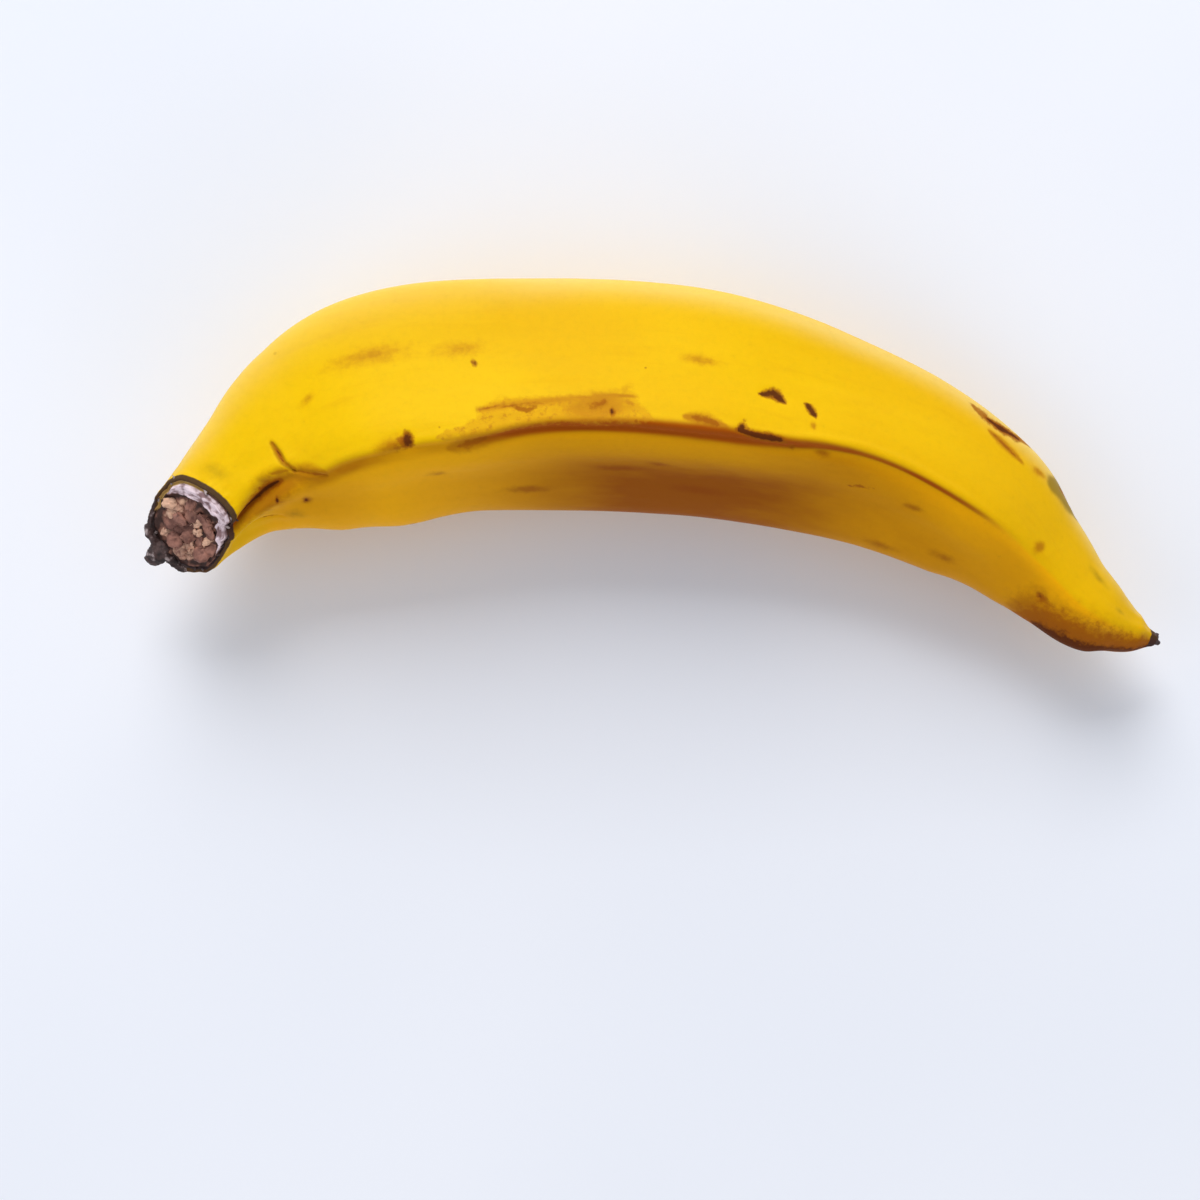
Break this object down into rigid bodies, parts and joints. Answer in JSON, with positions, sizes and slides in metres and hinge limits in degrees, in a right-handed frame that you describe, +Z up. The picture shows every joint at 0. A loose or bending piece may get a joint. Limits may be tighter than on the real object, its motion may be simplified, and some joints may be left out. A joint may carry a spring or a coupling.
{
  "type": "plantain",
  "caption": "Ripe plantain, a long bowed five-ridged fruit with a cut stem and a tapered dry blossom tip, lying on its side.",
  "frame": {"origin": "on the table, under the middle of the fruit's box", "axes": "+X from the cut stem to the blossom tip, the fruit's longest way; +Y to the outside of the bow; +Z up, the fruit's shortest way as it lies on its side"},
  "size_m": [0.2432, 0.0812, 0.0498],
  "materials": {
    "peel": "satin",
    "cut_stem": "matte"
  },
  "bodies": {
    "root": {"plantain": "peel"}
  },
  "joints": []
}
